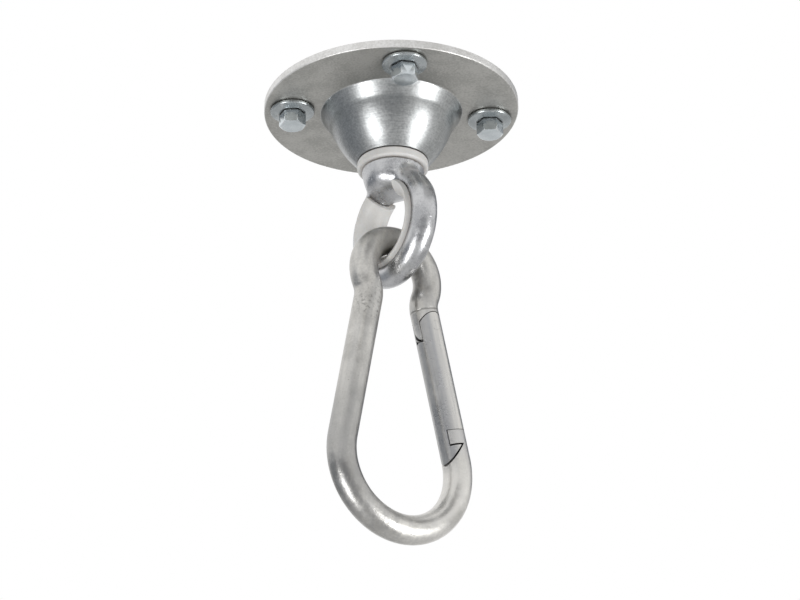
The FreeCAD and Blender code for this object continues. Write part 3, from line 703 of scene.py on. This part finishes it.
def plainShank(shell, axis, thread):
    # the faces of the shank's wall above the plate, which the thread takes the place of
    wall = thread["radius"] * thread["wallShare"]
    faces = []
    for face in shell.faces:
        inner = min(math.hypot(v.co.x - axis.x, v.co.y - axis.y) for v in face.verts)
        if inner > wall and min(v.co.z for v in face.verts) > -thread["levelSlack"]:
            faces.append(face)
    return faces


def makeScrew(index):
    nodeName = f"plate_screw_{index}"
    axis = boxMiddle(f"plate_washer_{index}")
    shell = worldMesh(nodeName)
    bmesh.ops.delete(shell, geom=plainShank(shell, axis, screwThread), context="FACES")
    addThread(shell, axis, 0.0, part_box(nodeName)[1].z - screwThread["point"], screwThread)
    bmesh.ops.remove_doubles(shell, verts=shell.verts, dist=weldDistance)
    bmesh.ops.recalc_face_normals(shell, faces=shell.faces)
    mesh = bpy.data.meshes.new(f"hexScrew{index}")
    shell.to_mesh(mesh)
    shell.free()
    smoothFaces(mesh, screwEdge["angle"])
    piece = newPiece(f"hexScrew{index}", mesh, "plate", nodeName)
    addEdgeRound(piece, screwEdge)


for index in range(1, screwCount + 1):
    makeScrew(index)
print("screws made:", screwCount)

# Forged eye, with the neck blended into the ring and a cut thread inside the nut
forgedEye = {
    "voxel": 0.0004,
    "blendPasses": 170,             # smoothing where neck and ring meet
    "skinPasses": 5,                # smoothing everywhere below the collar
    "skinStart": (0.0004, 0.0016),  # metres below the collar's face, where each begins and ends
    "blendStart": (0.0005, 0.0035),
    "blendEnd": (0.013, 0.019),
    "dents": ((0.00009, 150.0), (0.00003, 480.0)),   # height and waves per metre of the forged skin
    "sharpAngle": 40.0,
}
shankThread = {
    "radius": 0.006, "pitch": 0.00175, "depth": 0.0010, "point": 0.0012,
    "rowsPerTurn": 12, "segments": 56,
    "start": 0.001,                 # above the nut's seat
    "overlap": 0.0006,              # plain shank left inside the first turn
}


def relax(places, links, weights, passes):
    # moves each vertex halfway to the mean of its neighbours, by its weight
    count = np.bincount(links.ravel(), minlength=len(places))[:, None]
    for step in range(passes):
        total = np.zeros_like(places)
        for axis in range(3):
            total[:, axis] += np.bincount(links[:, 0], places[links[:, 1], axis], len(places))
            total[:, axis] += np.bincount(links[:, 1], places[links[:, 0], axis], len(places))
        places = places + (total / count - places) * (0.5 * weights)[:, None]
    return places


def evenMesh(nodeName, voxel):
    # a copy of a node's mesh on an even grid
    shell = worldMesh(nodeName)
    mesh = bpy.data.meshes.new(nodeName + "Even")
    shell.to_mesh(mesh)
    shell.free()
    holder = bpy.data.objects.new(nodeName + "Even", mesh)
    scene.collection.objects.link(holder)
    grid = holder.modifiers.new("grid", "REMESH")
    grid.mode = "VOXEL"
    grid.voxel_size = voxel
    depsgraph = bpy.context.evaluated_depsgraph_get()
    even = bpy.data.meshes.new_from_object(holder.evaluated_get(depsgraph))
    bpy.data.objects.remove(holder)
    return even


def meshArrays(mesh):
    places = np.empty(len(mesh.vertices) * 3)
    mesh.vertices.foreach_get("co", places)
    links = np.empty(len(mesh.edges) * 2, dtype=np.int64)
    mesh.edges.foreach_get("vertices", links)
    return places.reshape(-1, 3), links.reshape(-1, 2)


def stepBetween(values, low, high):
    share = np.clip((values - low) / (high - low), 0.0, 1.0)
    return share * share * (3 - 2 * share)


def dentAlongNormals(mesh, places, dents, weights):
    normals = np.empty(len(mesh.vertices) * 3)
    mesh.vertices.foreach_get("normal", normals)
    normals = normals.reshape(-1, 3)
    lift = np.zeros(len(places))
    for height, waves in dents:
        lift += height * np.array([noise.noise(Vector(spot) * waves) for spot in places])
    return places + normals * (lift * weights)[:, None]


def forgeSkin(mesh, settings):
    # blends the neck into the ring and leaves a slightly uneven skin below the collar
    places, links = meshArrays(mesh)
    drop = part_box("neck_bush")[0].z - places[:, 2]
    below = stepBetween(drop, *settings["skinStart"])
    blend = stepBetween(drop, *settings["blendStart"]) * (1 - stepBetween(drop, *settings["blendEnd"]))
    places = relax(places, links, blend, settings["blendPasses"])
    places = relax(places, links, below, settings["skinPasses"])
    mesh.vertices.foreach_set("co", places.ravel())
    mesh.update()
    places = dentAlongNormals(mesh, places, settings["dents"], below)
    mesh.vertices.foreach_set("co", places.ravel())


def cutShank(shell, thread):
    # makes the shank in the nut again, with a thread and a pointed end
    axis = Vector((0, 0, 0))
    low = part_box("lock_nut")[0].z + thread["start"]
    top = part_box("swivel_eye")[1].z
    tip = top - thread["point"]
    plain = [v for v in shell.verts if v.co.z > low + thread["overlap"]]
    bmesh.ops.delete(shell, geom=plain, context="VERTS")
    addThread(shell, axis, low, tip, thread)
    shoulder = addRing(shell, axis, [thread["radius"]] * thread["segments"], tip)
    end = addRing(shell, axis, [thread["radius"] - thread["point"]] * thread["segments"], top)
    joinRings(shell, shoulder, end)
    shell.faces.new(end)


def makeEye(settings):
    mesh = evenMesh("swivel_eye", settings["voxel"])
    forgeSkin(mesh, settings)
    shell = bmesh.new()
    shell.from_mesh(mesh)
    cutShank(shell, shankThread)
    shell.to_mesh(mesh)
    shell.free()
    mesh.name = "forgedEye"
    smoothFaces(mesh, settings["sharpAngle"])
    newPiece("forgedEye", mesh, "swivel", "swivel_eye")
    print("forged eye:", len(mesh.polygons), "faces")


makeEye(forgedEye)

# Studio: pale floor far below, white surround, grey cards round the room and two soft boxes
floorSet = {
    "drop": 1.7, "size": 14.0,  # metres
    "colour": (0.8, 0.8, 0.8, 1.0), "rough": 0.9,
    "shine": 0.12,              # added to the floor where metal mirrors it
    "glow": 0.47,               # added where the camera sees it, for a white backdrop
}


def makeFloor(settings):
    half = settings["size"] / 2
    level = cadBox[0].z - settings["drop"]
    corners = [(x * half, y * half, level) for x, y in ((-1, -1), (1, -1), (1, 1), (-1, 1))]
    mesh = bpy.data.meshes.new("floor")
    mesh.from_pydata(corners, [], [(0, 1, 2, 3)])
    floor = bpy.data.objects.new("floor", mesh)
    scene.collection.objects.link(floor)
    material, tree, shader = newMaterial("floorPaper")
    shader.inputs["Base Color"].default_value = settings["colour"]
    shader.inputs["Roughness"].default_value = settings["rough"]
    shader.inputs["Emission Color"].default_value = (1.0, 1.0, 1.0, 1.0)
    path = addNode(tree, "ShaderNodeLightPath").outputs
    shine = times(tree, path["Is Glossy Ray"], settings["shine"])
    glow = times(tree, path["Is Camera Ray"], settings["glow"])
    tree.links.new(plus(tree, shine, glow), shader.inputs["Emission Strength"])
    mesh.materials.append(material)


surroundSet = {
    "colour": (1.0, 1.0, 1.0, 1.0),
    "light": 0.6,               # strength as a light
    "seen": 1.0,                # strength where it is seen or mirrored
}


def makeSurround(settings):
    world = bpy.data.worlds.new("whiteSurround")
    world.use_nodes = True
    tree = world.node_tree
    background = next(node for node in tree.nodes if node.type == "BACKGROUND")
    path = addNode(tree, "ShaderNodeLightPath").outputs
    mirrored = larger(tree, path["Is Glossy Ray"], path["Is Transmission Ray"])
    seen = larger(tree, path["Is Camera Ray"], mirrored)
    strength = rampBetween(tree, seen, 0.0, 1.0, settings["light"], settings["seen"])
    background.inputs["Color"].default_value = settings["colour"]
    tree.links.new(strength, background.inputs["Strength"])
    scene.world = world


# cards: azimuths from the camera's and elevations in degrees, radius in metres
cards = {
    "leftWall": {"radius": 3.0, "from": -150.0, "to": 28.0, "low": -12.0, "high": 5.0,
                 "colour": (0.5, 0.51, 0.53, 1.0)},
    "rightWall": {"radius": 3.0, "from": 28.0, "to": 150.0, "low": -12.0, "high": 9.0,
                  "colour": (1.0, 1.0, 0.99, 1.0)},
    "ceilingCard": {"radius": 3.2, "from": 7.0, "to": 150.0, "low": 35.0, "high": 57.0,
                    "colour": (0.6, 0.6, 0.6, 1.0)},
    "leftCard": {"radius": 2.6, "from": -125.0, "to": -62.0, "low": -34.0, "high": 12.0,
                 "colour": (0.5, 0.53, 0.57, 1.0)},
    "rightCard": {"radius": 2.6, "from": 120.0, "to": 172.0, "low": 12.0, "high": 35.0,
                  "colour": (0.36, 0.38, 0.41, 1.0)},
    "frontCard": {"radius": 2.8, "from": -22.0, "to": 22.0, "low": -30.0, "high": -6.0,
                  "colour": (0.62, 0.63, 0.65, 1.0)},
}
cardSteps = 48


def makeCard(name, settings):
    # a curved card of the room, which only reflections show
    turn = settings["to"] - settings["from"]
    places = []
    for level in (settings["low"], settings["high"]):
        height = cadMiddle.z + settings["radius"] * math.tan(math.radians(level))
        for step in range(cardSteps + 1):
            azimuth = cameraSet["azimuth"] + settings["from"] + turn * step / cardSteps
            way = directionFrom(azimuth, 0.0) * settings["radius"]
            places.append((cadMiddle.x + way.x, cadMiddle.y + way.y, height))
    row = cardSteps + 1
    faces = [(step, step + 1, row + step + 1, row + step) for step in range(cardSteps)]
    mesh = bpy.data.meshes.new(name)
    mesh.from_pydata(places, [], faces)
    card = bpy.data.objects.new(name, mesh)
    scene.collection.objects.link(card)
    material, tree, shader = newMaterial(name + "Paper")
    shader.inputs["Base Color"].default_value = settings["colour"]
    shader.inputs["Roughness"].default_value = 1.0
    mesh.materials.append(material)
    card.visible_camera = False
    card.visible_diffuse = False
    card.visible_shadow = False


# soft boxes: azimuth from the camera's, in degrees, metres and watts
softBoxes = {
    "leftBox": {"azimuth": -43.0, "elevation": -33.0, "distance": 1.2, "size": (0.42, 0.6), "power": 5.2},
    "rightBox": {"azimuth": 66.0, "elevation": -27.0, "distance": 1.2, "size": (0.42, 0.6), "power": 7.4},
}


def makeSoftBox(name, settings):
    data = bpy.data.lights.new(name, "AREA")
    data.shape = "RECTANGLE"
    data.size, data.size_y = settings["size"]
    data.energy = settings["power"]
    lamp = bpy.data.objects.new(name, data)
    scene.collection.objects.link(lamp)
    way = directionFrom(cameraSet["azimuth"] + settings["azimuth"], settings["elevation"])
    lamp.location = cadMiddle + way * settings["distance"]
    lamp.rotation_mode = "QUATERNION"
    lamp.rotation_quaternion = way.to_track_quat("Z", "Y")


makeFloor(floorSet)
makeSurround(surroundSet)
for name, card in cards.items():
    makeCard(name, card)
for name, box in softBoxes.items():
    makeSoftBox(name, box)
scene.view_settings.view_transform = "Standard"
print("studio set")
